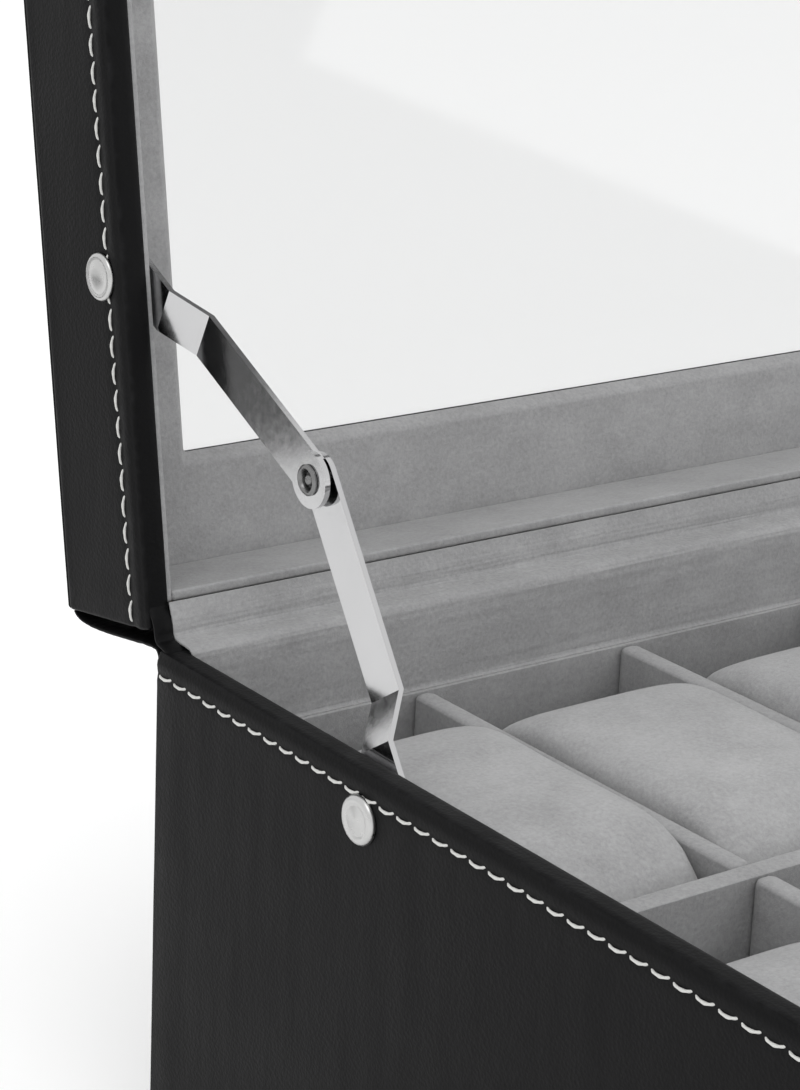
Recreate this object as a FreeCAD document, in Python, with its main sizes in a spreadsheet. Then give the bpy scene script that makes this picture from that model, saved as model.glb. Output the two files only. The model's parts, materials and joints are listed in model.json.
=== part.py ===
import FreeCAD, Part
import math
import os

import Sketcher
from FreeCAD import Placement, Rotation, Vector

# A two-tier watch box: a leather-covered base with twelve pillow compartments over a drawer, and a
# glazed lid on a soft hinge, held open by two folding stays. Millimetres, +Z up.
# Origin: centre of the underside. The front is -Y, the hinge is at +Y, and the lid stands open.
# The lid is drawn closed on the base and turned open about the hinge line by its placement.

DIMENSIONS = [
    # the box
    ("box_width", 300), ("box_depth", 190), ("base_height", 104), ("lid_height", 27.5),
    ("leather", 0.8), ("rim_width", 4.3), ("back_rim", 3.8), ("wall_lining", 1.9), ("back_lining", 0.9),
    ("lining_drop", 1), ("felt", 0.8), ("bottom_board", 4), ("deck_low", 38), ("deck_board", 3),
    # the tray
    ("tray_gap", 0.2), ("tray_floor", 2.5), ("tray_wall", 2), ("tray_depth", 15.7), ("divider", 4.2),
    ("divider_pitch", 48.7), ("pillow_length", 74.6), ("pillow_height", 51.2), ("pillow_width", 42.8),
    ("end_pillow", 36.6), ("pillow_gap", 0.3), ("pillow_corner", 12), ("pillow_round", 3.5),
    ("pillow_lift", 0.3), ("pillow_row", 43),
    # the lid
    ("lid_gap", 0.2), ("frame_face", 20.3), ("frame_card", 2.7), ("frame_side", 21.7), ("frame_end", 24),
    ("bevel", 2.1), ("glass", 2.2), ("spacer", 4.7), ("ring_side", 22.8), ("ring_end", 25.2),
    ("open_angle", 99), ("hinge_back", 2.2),
    # the folding stays; heights are above the rim, distances are forward of the back face
    ("base_pivot_back", 61.05), ("base_pivot_drop", 8.2), ("lid_pivot_back", 60.9), ("lid_pivot_rise", 7.2),
    ("link_length", 55), ("strip_width", 8.5), ("strip", 1), ("wall_clear", 0.3), ("upper_step", 3.7),
    ("lower_step", 4.8), ("step_start", 10.5), ("step_end", 18), ("disc_round", 4.75), ("disc_press", 0.8),
    ("shank", 1.9), ("running_fit", 0.08), ("rivet_head", 4.15), ("rivet_dome", 1.1), ("clinch", 3),
    ("eyelet", 2.6),
    # the drawer
    ("drawer_gap", 0.6), ("drawer_front", 4.8), ("drawer_wall", 3), ("drawer_side_gap", 1.1),
    ("drawer_height", 28), ("drawer_base", 2), ("drawer_pad", 0.8), ("drawer_length", 177),
    ("partition_place", 48), ("knob_round", 7), ("knob_reach", 14), ("knob_neck", 3), ("screw_round", 1.5),
    # the lock
    ("barrel_round", 4.5), ("lock_height", 94.5), ("plate_round", 8.5), ("plate", 1.2), ("crank", 3),
    ("crank_pin", 1), ("bolt_thick", 2.4), ("case_wall", 0.8), ("case_half", 15), ("case_depth", 6.4),
    ("lock_fit", 0.3), ("nose", 1.8), ("tail", 1.3), ("key_wide", 1.2), ("key_tall", 5.2), ("key_deep", 4),
    ("staple_place", 10.4), ("staple", 1.5),
    # the soft hinge
    ("spine", 0.8), ("hinge_inset", 2), ("strip_cloth", 0.7),
]

doc = FreeCAD.newDocument("watch_box")
sheet = doc.addObject("Spreadsheet::Sheet", "dims")


class Size:
    """A number together with the sheet formula that gives it."""

    def __init__(self, value, text):
        self.value, self.text = float(value), text

    def __add__(self, other):
        other = as_size(other)
        return Size(self.value + other.value, f"({self.text} + {other.text})")

    def __sub__(self, other):
        other = as_size(other)
        return Size(self.value - other.value, f"({self.text} - {other.text})")

    def __mul__(self, factor):
        return Size(self.value * factor, f"({self.text} * {factor})")

    def __truediv__(self, factor):
        return Size(self.value / factor, f"({self.text} / {factor})")

    def __neg__(self):
        return Size(-self.value, f"(0 - {self.text})")


def as_size(amount):
    return amount if isinstance(amount, Size) else Size(amount, f"({float(amount)})")


class Dims:
    """The sheet's cells by alias, as sizes."""


D = Dims()
for line, (alias, number) in enumerate(DIMENSIONS, start=1):
    sheet.set(f"A{line}", alias)
    sheet.set(f"B{line}", str(number))
    sheet.setAlias(f"B{line}", alias)
doc.recompute()
for alias, _ in DIMENSIONS:
    setattr(D, alias, Size(sheet.get(alias), f"dims.{alias}"))

nodes = []


def keep(item, label, placement=None):
    """Name a finished sub-part, place it, and list it for export."""
    item.Label = label
    if placement is not None:
        item.Placement = placement
    nodes.append(item)
    return item


def bind(item, prop, amount):
    item.setExpression(prop, as_size(amount).text)


# ---- solids from boxes and cylinders ----

def block(name, x, y, z):
    """A box between a low and a high place along each axis."""
    box = doc.addObject("Part::Box", name)
    for side, axis, (low, high) in zip(("Length", "Width", "Height"), "xyz", (x, y, z)):
        bind(box, side, as_size(high) - low)
        bind(box, f"Placement.Base.{axis}", low)
    return box


def rod(name, radius, length, start, direction):
    """A cylinder of a given length from a start point along a direction."""
    cylinder = doc.addObject("Part::Cylinder", name)
    bind(cylinder, "Radius", radius)
    bind(cylinder, "Height", length)
    cylinder.Placement = Placement(start, Rotation(Vector(0, 0, 1), direction))
    return cylinder


def cut(name, solid, tools):
    """A solid with one or more tools taken out of it."""
    if len(tools) > 1:
        joined = doc.addObject("Part::MultiFuse", f"{name}_tools")
        joined.Shapes = tools
    else:
        joined = tools[0]
    result = doc.addObject("Part::Cut", name)
    result.Base, result.Tool = solid, joined
    return result


def group(name, items):
    """Separate solids kept together in one node."""
    compound = doc.addObject("Part::Compound", name)
    compound.Links = items
    return compound


def both(x):
    """An x range and its mirror image across the box's middle."""
    low, high = x
    return [(low, high), (-as_size(high), -as_size(low))]


def across(amount):
    """A range centred on the box's middle."""
    return (-amount, amount)


# ---- solids from sketches ----

def plane_of(body, role):
    return next(f for f in body.Origin.OriginFeatures if f.Role == role)


def sketch_on(body, name, role="XY_Plane"):
    sketch = body.newObject("Sketcher::SketchObject", name)
    sketch.AttachmentSupport = [(plane_of(body, role), "")]
    sketch.MapMode = "FlatFace"
    return sketch


def pin_point(sketch, line, end, place):
    """Hold one end of a line at a place given by sizes."""
    for kind, axis, amount in zip(("DistanceX", "DistanceY"), (-2, -1), place):
        amount = as_size(amount)
        if abs(amount.value) < 1e-9:
            sketch.addConstraint(Sketcher.Constraint("PointOnObject", line, end, axis))
            continue
        at = sketch.addConstraint(Sketcher.Constraint(kind, -1, 1, line, end, amount.value))
        sketch.setExpression(f"Constraints[{at}]", amount.text)


def draw_polygon(sketch, points):
    """A closed outline of straight lines through points given by sizes."""
    places = [Vector(as_size(u).value, as_size(v).value, 0) for u, v in points]
    first = sketch.GeometryCount
    count = len(places)
    for i in range(count):
        sketch.addGeometry(Part.LineSegment(places[i], places[(i + 1) % count]))
    for i in range(count):
        sketch.addConstraint(Sketcher.Constraint("Coincident", first + i, 2, first + (i + 1) % count, 1))
    for i, point in enumerate(points):
        pin_point(sketch, first + i, 1, point)


def draw_circle(sketch, place, radius):
    """A circle about a point on the sketch's first axis."""
    radius = as_size(radius)
    at = sketch.addGeometry(Part.Circle(Vector(as_size(place).value, 0, 0), Vector(0, 0, 1), radius.value))
    pin_point(sketch, at, 3, (place, 0))
    held = sketch.addConstraint(Sketcher.Constraint("Radius", at, radius.value))
    sketch.setExpression(f"Constraints[{held}]", radius.text)


def draw_slot(sketch, start, finish, radius):
    """An outline with two straight sides and round ends about two points on the first axis."""
    start, finish, radius = as_size(start), as_size(finish), as_size(radius)
    a, b, r = start.value, finish.value, radius.value
    left = sketch.addGeometry(Part.ArcOfCircle(
        Part.Circle(Vector(a, 0, 0), Vector(0, 0, 1), r), math.pi / 2, 3 * math.pi / 2))
    right = sketch.addGeometry(Part.ArcOfCircle(
        Part.Circle(Vector(b, 0, 0), Vector(0, 0, 1), r), -math.pi / 2, math.pi / 2))
    top = sketch.addGeometry(Part.LineSegment(Vector(a, r, 0), Vector(b, r, 0)))
    low = sketch.addGeometry(Part.LineSegment(Vector(a, -r, 0), Vector(b, -r, 0)))
    meetings = [(left, 1, top, 1), (left, 2, low, 1), (right, 2, top, 2), (right, 1, low, 2)]
    for one, end, other, far in meetings:
        sketch.addConstraint(Sketcher.Constraint("Tangent", one, end, other, far))
    pin_point(sketch, left, 3, (start, 0))
    pin_point(sketch, right, 3, (finish, 0))
    held = sketch.addConstraint(Sketcher.Constraint("Radius", left, r))
    sketch.setExpression(f"Constraints[{held}]", radius.text)


def new_body(name):
    return doc.addObject("PartDesign::Body", name)


def pad(body, sketch, name, length, midplane=False, backwards=False):
    feature = body.newObject("PartDesign::Pad", name)
    feature.Profile = sketch
    bind(feature, "Length", length)
    feature.SideType = "Symmetric" if midplane else "One side"
    feature.Reversed = backwards
    return feature


def pocket(body, sketch, name, length):
    """A pocket that must take material away."""
    doc.recompute()
    before = body.Shape.Volume
    feature = body.newObject("PartDesign::Pocket", name)
    feature.Profile = sketch
    bind(feature, "Length", length)
    doc.recompute()
    if body.Shape.Volume > before - 0.01:
        raise ValueError(f"{name} cuts nothing")
    return feature


def turned(name, outline):
    """A body turned about X from an outline of (along, radius) sizes."""
    body = new_body(name)
    sketch = sketch_on(body, f"{name}_outline")
    draw_polygon(sketch, outline)
    turn = body.newObject("PartDesign::Revolution", f"{name}_turn")
    turn.Profile = sketch
    turn.ReferenceAxis = (sketch, ["H_Axis"])
    turn.Angle = 360
    return body


# ---- places that several sub-parts share ----

half_width = D.box_width / 2
half_depth = D.box_depth / 2
inner_side = half_width - D.rim_width
inner_front = -(half_depth - D.rim_width)
inner_back = half_depth - D.back_rim
lining_side = inner_side - D.wall_lining
lining_front = inner_front + D.wall_lining
lining_back = inner_back - D.back_lining
board_top = D.base_height - D.leather
lining_top = D.base_height - D.lining_drop
bottom_top = D.felt + D.bottom_board
deck_top = D.deck_low + D.deck_board
floor_top = deck_top + D.tray_floor
tray_top = D.base_height - D.tray_depth

lid_rim = D.base_height + D.lid_gap
lid_top = lid_rim + D.lid_height
face_height = lid_rim + D.frame_face
glass_low = face_height + D.frame_card
glass_high = glass_low + D.glass
lid_board_top = lid_top - D.leather

hinge_line = Vector(0, (half_depth + D.hinge_back).value, D.base_height.value)
LID_OPEN = Placement(Vector(), Rotation(Vector(1, 0, 0), -D.open_angle.value), hinge_line)

OUT_LEFT = Vector(-1, 0, 0)
INTO_BOX = Vector(0, 1, 0)

base_pivot = Vector(0, (half_depth - D.base_pivot_back).value, (D.base_height - D.base_pivot_drop).value)
lid_pivot_shut = Vector(0, (half_depth - D.lid_pivot_back).value, (D.base_height + D.lid_pivot_rise).value)
lid_pivot = LID_OPEN.multVec(lid_pivot_shut)


def knee(low, high, length):
    """Where two equal links from a low and a high pivot meet, on the side towards the front."""
    middle = (low + high) * 0.5
    along = high - low
    reach = math.sqrt(length ** 2 - (along.Length / 2) ** 2)
    sideways = Vector(0, -along.z, along.y).normalize()
    return middle + sideways * reach


stay_knee = knee(base_pivot, lid_pivot, D.link_length.value)


def wall_bore(name, centre, radius):
    """A bore along X through both side walls."""
    start = Vector((half_width + 1).value, centre.y, centre.z)
    return rod(name, radius, D.box_width + 2, start, OUT_LEFT)


def lock_bore(name):
    """The hole that the lock's barrel passes through in the front wall."""
    start = Vector(0, -(half_depth + 1).value, D.lock_height.value)
    return rod(name, D.barrel_round + D.lock_fit, D.rim_width + D.wall_lining + 3, start, INTO_BOX)


base_bore = wall_bore("base_stay_bore", base_pivot, D.shank)
lid_bore = wall_bore("lid_stay_bore", lid_pivot_shut, D.shank)
barrel_bore = lock_bore("barrel_bore")


# ---- the base ----

def make_base():
    board_back = half_depth - D.leather
    board_side = half_width - D.leather
    upright = (D.felt, board_top)

    keep(block("felt_sheet", across(half_width), across(half_depth), (0, D.felt)), "bottom_felt")
    keep(block("bottom", across(inner_side), (-board_back, inner_back), (D.felt, bottom_top)),
         "base_bottom_board")
    sides = [block("side_board", x, across(board_back), upright) for x in both((-board_side, -inner_side))]
    keep(cut("bored_sides", group("side_pair", sides), [base_bore]), "base_side_boards")
    keep(block("back_board", across(inner_side), (inner_back, board_back), upright), "base_back_board")
    front = block("front_board", across(inner_side), (-board_back, inner_front), (D.deck_low, board_top))
    keep(cut("bored_front", front, [barrel_bore]), "base_front_board")
    keep(block("deck", across(inner_side), (inner_front, inner_back), (D.deck_low, deck_top)), "tier_deck")

    skin = block("skin", across(half_width), across(half_depth), (D.felt, D.base_height))
    inside = block("skin_inside", across(board_side), across(board_back), (-1, board_top))
    mouth = block("skin_mouth", across(inner_side), (inner_front, inner_back),
                  (board_top - 1, D.base_height + 1))
    bay = block("skin_bay", across(inner_side), (-half_depth - 1, -board_back + 1),
                (bottom_top, D.deck_low))
    keep(cut("base_skin", skin, [inside, mouth, bay, base_bore, barrel_bore]), "base_leather")


def make_base_linings():
    height = (deck_top, lining_top)
    sides = [block("side_lining", x, (inner_front, inner_back), height)
             for x in both((-inner_side, -lining_side))]
    keep(cut("bored_linings", group("lining_pair", sides), [base_bore]), "base_side_linings")
    front = block("front_lining", across(lining_side), (inner_front, lining_front), height)
    keep(cut("bored_front_lining", front, [barrel_bore]), "base_front_lining")
    back = block("back_lining_board", across(lining_side), (lining_back, inner_back), height)
    keep(back, "base_back_lining")


# ---- the tray and its pillows ----

def make_tray():
    outer = lining_side - D.tray_gap
    front, back = lining_front + D.tray_gap, lining_back - D.tray_gap
    inner, inner_low, inner_high = outer - D.tray_wall, front + D.tray_wall, back - D.tray_wall
    height = (floor_top, tray_top)
    half = D.divider / 2

    keep(block("floor_card", across(outer), (front, back), (deck_top, floor_top)), "tray_floor")
    walls = [block("tray_side", x, (front, back), height) for x in both((-outer, -inner))]
    walls.append(block("tray_front", across(inner), (front, inner_low), height))
    walls.append(block("tray_back", across(inner), (inner_high, back), height))
    keep(group("tray_walls", walls), "tray_frame")
    keep(block("long_board", across(inner), across(half), height), "long_divider")
    boards = []
    for row in ((inner_low, -half), (half, inner_high)):
        for column in range(-2, 3):
            middle = D.divider_pitch * column
            boards.append(block("cross_board", (middle - half, middle + half), row, height))
    keep(group("cross_boards", boards), "cross_dividers")


def round_off(body, feature, name, chosen, radius):
    """Rounds the edges of a feature that a test of their length along X picks out."""
    doc.recompute()
    rounding = body.newObject("PartDesign::Fillet", name)
    edges = [f"Edge{i}" for i, edge in enumerate(feature.Shape.Edges, start=1) if chosen(edge.BoundBox.XLength)]
    rounding.Base = (feature, edges)
    bind(rounding, "Radius", radius)
    return rounding


def make_pillow(label, middle, row, width):
    """A soft block with round ends, so that a strap wraps over it from front to back."""
    body = new_body(f"{label}_body")
    sketch = sketch_on(body, "profile", "YZ_Plane")
    reach, rise = D.pillow_length / 2, D.pillow_height / 2
    draw_polygon(sketch, [(-reach, -rise), (reach, -rise), (reach, rise), (-reach, rise)])
    stuffing = pad(body, sketch, "stuffing", width, midplane=True)
    ends = round_off(body, stuffing, "round_ends", lambda length: length > 1, D.pillow_corner)
    round_off(body, ends, "soft_edges", lambda length: length < 1e-3, D.pillow_round)
    height = floor_top + D.pillow_lift + rise
    keep(body, label, Placement(Vector(middle, row, height.value), Rotation()))


def make_pillows():
    """Two rows of six. The end ones are narrower and stand by their dividers, clear of the stays."""
    pitch = D.divider_pitch.value
    end_middle = 2 * pitch + (D.divider / 2 + D.pillow_gap + D.end_pillow / 2).value
    columns = [(-end_middle, D.end_pillow)]
    columns += [(step * pitch, D.pillow_width) for step in (-1.5, -0.5, 0.5, 1.5)]
    columns.append((end_middle, D.end_pillow))
    number = 0
    for row in (-D.pillow_row.value, D.pillow_row.value):
        for middle, width in columns:
            number += 1
            make_pillow(f"pillow_{number:02d}", middle, row, width)


# ---- the lid, drawn closed ----

def make_lid():
    board_side, board_back = half_width - D.leather, half_depth - D.leather
    inner_end = half_depth - D.rim_width
    lining_end = inner_end - D.wall_lining
    rail = (lid_rim + D.leather, glass_high)
    wall = (lid_rim + D.lining_drop, face_height)
    seat_side, seat_end = inner_side - D.spacer, inner_end - D.spacer
    ring_side, ring_end = half_width - D.ring_side, half_depth - D.ring_end

    rails = [block("side_rail", x, across(board_back), rail) for x in both((-board_side, -inner_side))]
    keep(cut("bored_rails", group("rail_pair", rails), [lid_bore]), "lid_side_rails", LID_OPEN)
    ends = [block("cross_rail", across(inner_side), y, rail) for y in both((-board_back, -inner_end))]
    keep(group("cross_rails", ends), "lid_cross_rails", LID_OPEN)
    linings = [block("lid_side_lining", x, across(inner_end), wall)
               for x in both((-inner_side, -lining_side))]
    linings = cut("bored_lid_linings", group("lid_lining_pair", linings), [lid_bore])
    keep(linings, "lid_side_linings", LID_OPEN)
    caps = [block("lid_cross_lining", across(lining_side), y, wall)
            for y in both((-inner_end, -lining_end))]
    keep(group("cross_linings", caps), "lid_cross_linings", LID_OPEN)

    keep(frame_card(inner_end), "lid_velvet_frame", LID_OPEN)

    seats = [block("side_seat", x, across(inner_end), (glass_low, glass_high))
             for x in both((-inner_side, -seat_side))]
    seats += [block("cross_seat", across(seat_side), y, (glass_low, glass_high))
              for y in both((-inner_end, -seat_end))]
    keep(group("seats", seats), "lid_glass_spacer", LID_OPEN)
    pane = block("pane", across(seat_side - D.lid_gap), across(seat_end - D.lid_gap),
                 (glass_low, glass_high))
    keep(group("pane_alone", [pane]), "lid_glass", LID_OPEN)

    top = (glass_high, lid_board_top)
    ring = [block("side_ring", x, across(board_back), top) for x in both((-board_side, -ring_side))]
    ring += [block("cross_ring", across(ring_side), y, top) for y in both((-board_back, -ring_end))]
    keep(group("top_ring", ring), "lid_top_board", LID_OPEN)

    skin = block("lid_skin_block", across(half_width), across(half_depth), (lid_rim, lid_top))
    inside = block("lid_skin_inside", across(board_side), across(board_back),
                   (lid_rim + D.leather, lid_board_top))
    mouth = block("lid_skin_mouth", across(inner_side), across(inner_end), (lid_rim - 1, lid_rim + 2))
    window = block("lid_window", across(ring_side), across(ring_end), (glass_high, lid_top + 1))
    keep(cut("lid_skin", skin, [inside, mouth, window, lid_bore]), "lid_leather", LID_OPEN)


def frame_card(inner_end):
    """The card frame under the glass, with its opening bevelled narrower towards the glass."""
    card = block("frame_block", across(inner_side), across(inner_end), (face_height, glass_low))
    side, end = half_width - D.frame_side, half_depth - D.frame_end
    opening = doc.addObject("Part::Wedge", "frame_opening")
    bounds = {
        "Ymin": 0, "Ymax": D.frame_card,
        "Xmin": -side, "Xmax": side, "X2min": -side + D.bevel, "X2max": side - D.bevel,
        "Zmin": -end, "Zmax": end, "Z2min": -end + D.bevel, "Z2max": end - D.bevel,
    }
    for name, amount in bounds.items():
        bind(opening, name, amount)
    opening.Placement = Placement(Vector(0, 0, face_height.value), Rotation(Vector(1, 0, 0), 90))
    return cut("frame_cut", card, [opening])


# ---- the soft hinge, as it lies with the lid open ----

def band(label, path, thickness, reach):
    """A flat strip of cloth or leather along a path of (y, z) points, as wide as twice its reach."""
    def shifted(side):
        points = []
        for i, point in enumerate(path):
            before, after = path[max(i - 1, 0)], path[min(i + 1, len(path) - 1)]
            along = (after - before).normalize()
            points.append(point + Vector(-reach, -along.z * side, along.y * side))
        return points

    half = thickness / 2
    outline = shifted(half) + shifted(-half)[::-1]
    feature = doc.addObject("Part::Feature", f"{label}_strip")
    feature.Shape = Part.Face(Part.makePolygon([*outline, outline[0]])).extrude(Vector(2 * reach, 0, 0))
    keep(feature, label)


def make_soft_hinge():
    """The spine sags out of the gap behind the rim, and the velvet bridges the gap on the inside."""
    back = half_depth.value
    rim = D.base_height.value
    clear = 0.05
    spine_drop, spine_sag, spine_out = 12, 4.4, 15
    lid_edge = LID_OPEN.multVec(Vector(0, back, lid_top.value))
    lid_lip = LID_OPEN.multVec(Vector(0, back - D.rim_width.value, lid_rim.value))
    on_back = back + D.spine.value / 2 + clear
    spine = [
        Vector(0, on_back, rim - spine_drop),
        Vector(0, on_back, rim - spine_drop / 2),
        Vector(0, on_back + 0.9, rim - 3.8),
        Vector(0, on_back + 3.2, rim - 2.8),
        Vector(0, back + spine_out, rim - spine_sag),
        Vector(0, lid_edge.y - 1.5, lid_edge.z - 1.2),
    ]
    band("hinge_spine_leather", spine, D.spine.value, (half_width - D.hinge_inset).value)
    cloth_drop = 6
    on_lining = lining_back.value - D.strip_cloth.value / 2 - clear
    cloth = [
        Vector(0, on_lining, rim - cloth_drop),
        Vector(0, on_lining, lining_top.value),
        Vector(0, lining_back.value + 1.2, rim + 1.1),
        Vector(0, back - 0.6, rim + 3),
        Vector(0, lid_lip.y - 0.9, lid_lip.z - 0.4),
    ]
    band("hinge_velvet_strip", cloth, D.strip_cloth.value, lining_side.value - 1)


# ---- the folding stays ----

def strip_solid(name, step, plan_ends):
    """A flat strip along X that steps away from the wall near its start, with a bored round end."""
    half = D.strip_width / 2
    side_view = doc.addObject("Sketcher::SketchObject", f"{name}_side")
    start, finish = -half, D.link_length + half
    draw_polygon(side_view, [
        (start, 0), (D.step_start, 0), (D.step_end, step), (finish, step),
        (finish, step + D.strip), (D.step_end, step + D.strip), (D.step_start, D.strip), (start, D.strip)])
    side_view.Placement = Placement(Vector(), Rotation(Vector(1, 0, 0), 90))
    ribbon = doc.addObject("Part::Extrusion", f"{name}_ribbon")
    ribbon.Base = side_view
    ribbon.DirMode = "Normal"
    ribbon.Solid = True
    ribbon.Symmetric = True
    bind(ribbon, "LengthFwd", D.strip_width + 2)

    plan_view = doc.addObject("Sketcher::SketchObject", f"{name}_plan")
    draw_slot(plan_view, 0, D.link_length, half)
    for place, radius in plan_ends:
        draw_circle(plan_view, place, radius)
    plate = doc.addObject("Part::Extrusion", f"{name}_plate")
    plate.Base = plan_view
    plate.DirMode = "Normal"
    plate.Solid = True
    bind(plate, "LengthFwd", step + 4)
    plan_view.Placement = Placement(Vector(0, 0, -1), Rotation())
    strip = doc.addObject("Part::MultiCommon", f"{name}_strip")
    strip.Shapes = [ribbon, plate]
    return strip


def pressed_end(name, strip):
    """The strip's far end pressed towards the wall, as a round dish about the knee."""
    dish_low = D.upper_step - D.disc_press
    knee_point = Vector(D.link_length.value, 0, 0)
    up = Vector(0, 0, 1)
    room = rod(f"{name}_room", D.disc_round - 0.5, D.strip + 1, knee_point + up * D.upper_step.value, up)
    hollowed = cut(f"{name}_hollowed", strip, [room])
    dish = rod(f"{name}_dish", D.disc_round, D.strip, knee_point + up * dish_low.value, up)
    joined = doc.addObject("Part::MultiFuse", f"{name}_pressed")
    joined.Shapes = [hollowed, dish]
    bore = rod(f"{name}_bore", D.shank + D.running_fit, 6, knee_point, up)
    return cut(f"{name}_bored", joined, [bore])


def link_placement(side, pivot, far):
    """A link's own X runs from its pivot to the far point, and its Z points into the box."""
    along = (far - pivot).normalize()
    inward = Vector(-side, 0, 0)
    wall = side * (lining_side - D.wall_clear).value
    turn = Rotation(along, inward.cross(along), inward, "XYZ")
    return Placement(Vector(wall, pivot.y, pivot.z), turn)


def facing(side, x, point):
    """A turned piece's placement: its own +X points out of the box on the given side."""
    turn = Rotation() if side > 0 else Rotation(Vector(0, 0, 1), 180)
    return Placement(Vector(side * x, point.y, point.z), turn)


def head_outline(start, finish):
    """A flat-faced head with a bevelled edge at the start, on a shank that runs to the finish."""
    bevel = D.rivet_dome / 2
    return [(start + D.rivet_dome, 0), (start + D.rivet_dome, D.rivet_head - bevel),
            (start + bevel, D.rivet_head), (start, D.rivet_head), (start, D.shank),
            (finish, D.shank), (finish, 0)]


def make_stay(side, label):
    lower_top = D.lower_step + D.strip
    lower = strip_solid(f"{label}_lower", D.lower_step, [(0, D.shank + D.running_fit),
                                                        (D.link_length, D.shank + D.running_fit)])
    keep(lower, f"{label}_stay_lower_link", link_placement(side, base_pivot, stay_knee))
    upper = strip_solid(f"{label}_upper", D.upper_step, [(0, D.shank + D.running_fit)])
    keep(pressed_end(label, upper), f"{label}_stay_upper_link", link_placement(side, lid_pivot, stay_knee))

    # heights along the knee rivet count from the wall side of the links, out of the box
    dish_face = D.upper_step - D.disc_press
    eyelet = turned(f"{label}_knee", [
        (-dish_face + 0.7, D.shank - 1), (-dish_face + 0.7, D.eyelet - 0.3), (-dish_face + 0.35, D.eyelet),
        (-dish_face + 0.05, D.eyelet), (-dish_face + 0.05, D.shank), (-lower_top - 0.05, D.shank),
        (-lower_top - 0.05, D.clinch), (-lower_top - 0.65, D.clinch - 0.3), (-lower_top - 0.65, 0),
        (-dish_face, 0), (-dish_face, D.shank - 1)])
    wall = (lining_side - D.wall_clear).value
    keep(eyelet, f"{label}_stay_knee_rivet", facing(side, wall, stay_knee))

    stub = turned(f"{label}_stub", [
        (-0.05, 0), (-0.05, D.shank), (-D.strip - 0.05, D.shank), (-D.strip - 0.05, D.clinch),
        (-D.strip - 0.65, D.clinch - 0.3), (-D.strip - 0.65, 0)])
    keep(stub, f"{label}_stay_lid_clinch", facing(side, wall, lid_pivot))


def make_wall_rivets():
    """Rivets through the side walls: the lower links turn on the base pair."""
    base_end = -D.wall_clear - D.strip - 0.05
    pair, lid_pair = [], []
    for side, label in ((-1, "left"), (1, "right")):
        wall_face = D.rim_width + D.wall_lining
        outline = head_outline(as_size(0), -wall_face + base_end)
        outline[-1:] = [(-wall_face + base_end, D.clinch), (-wall_face + base_end - 0.6, D.clinch - 0.3),
                        (-wall_face + base_end - 0.6, 0)]
        rivet = turned(f"{label}_base_rivet", outline)
        rivet.Placement = facing(side, half_width.value, base_pivot)
        pair.append(rivet)
        short = turned(f"{label}_lid_rivet", head_outline(as_size(0), -wall_face))
        short.Placement = facing(side, half_width.value, lid_pivot_shut)
        lid_pair.append(short)
    keep(group("base_rivets", pair), "base_stay_rivets")
    keep(group("lid_rivets", lid_pair), "lid_stay_rivets", LID_OPEN)


# ---- the drawer ----

def make_drawer():
    side = inner_side - D.drawer_side_gap
    inner = side - D.drawer_wall
    low = bottom_top + D.drawer_gap
    front_back = -half_depth + D.drawer_front
    back = front_back + D.drawer_length
    top = low + D.drawer_height
    pad_low = low + D.drawer_base
    pad_top = pad_low + D.drawer_pad
    middle_height = (bottom_top + D.deck_low) / 2
    screw = rod("knob_bore", D.screw_round, D.drawer_front + 2,
                Vector(0, -(half_depth + 1).value, middle_height.value), INTO_BOX)

    front = block("drawer_panel", across(inner_side - D.drawer_gap), (-half_depth, front_back),
                  (low, D.deck_low - D.drawer_gap))
    keep(cut("bored_panel", front, [screw]), "drawer_front")
    walls = [block("drawer_side", x, (front_back, back), (low, top)) for x in both((-side, -inner))]
    walls.append(block("drawer_end", across(inner), (back - D.drawer_wall, back), (low, top)))
    keep(group("drawer_boards", walls), "drawer_walls")
    floor = (front_back, back - D.drawer_wall)
    keep(block("drawer_card", across(inner), floor, (low, pad_low)), "drawer_bottom")
    keep(block("drawer_velvet", across(inner), floor, (pad_low, pad_top)), "drawer_lining")
    half = D.drawer_wall / 2
    partitions = [block("drawer_partition", (middle - half, middle + half), floor, (pad_top, top - 4))
                  for middle in (-D.partition_place, D.partition_place)]
    keep(group("partitions", partitions), "drawer_partitions")

    make_knob(middle_height.value)


def make_knob(height):
    """A turned knob on the drawer's front, with the screw that holds it from behind."""
    place = Placement(Vector(0, -half_depth.value, height), Rotation(Vector(0, 0, 1), -90))
    reach = D.knob_reach
    screw_end, screw_head = reach - 4, D.screw_round * 2
    knob = turned("knob", [
        (0, D.screw_round), (0, D.knob_neck + 1.2), (1, D.knob_neck), (reach - 7, D.knob_neck),
        (reach - 5.2, D.knob_round - 0.8), (reach - 4, D.knob_round), (reach - 2, D.knob_round),
        (reach - 0.6, D.knob_round - 1.6), (reach, D.knob_round - 4), (reach, 0),
        (screw_end, 0), (screw_end, D.screw_round)])
    keep(knob, "drawer_knob", place)
    bolt = turned("screw", [
        (screw_end, 0), (screw_end, D.screw_round), (-D.drawer_front, D.screw_round),
        (-D.drawer_front, screw_head), (-D.drawer_front - 1.2, screw_head - 0.8),
        (-D.drawer_front - 1.2, 0)])
    keep(bolt, "drawer_knob_screw", place)


# ---- the lock in the front wall ----

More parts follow.
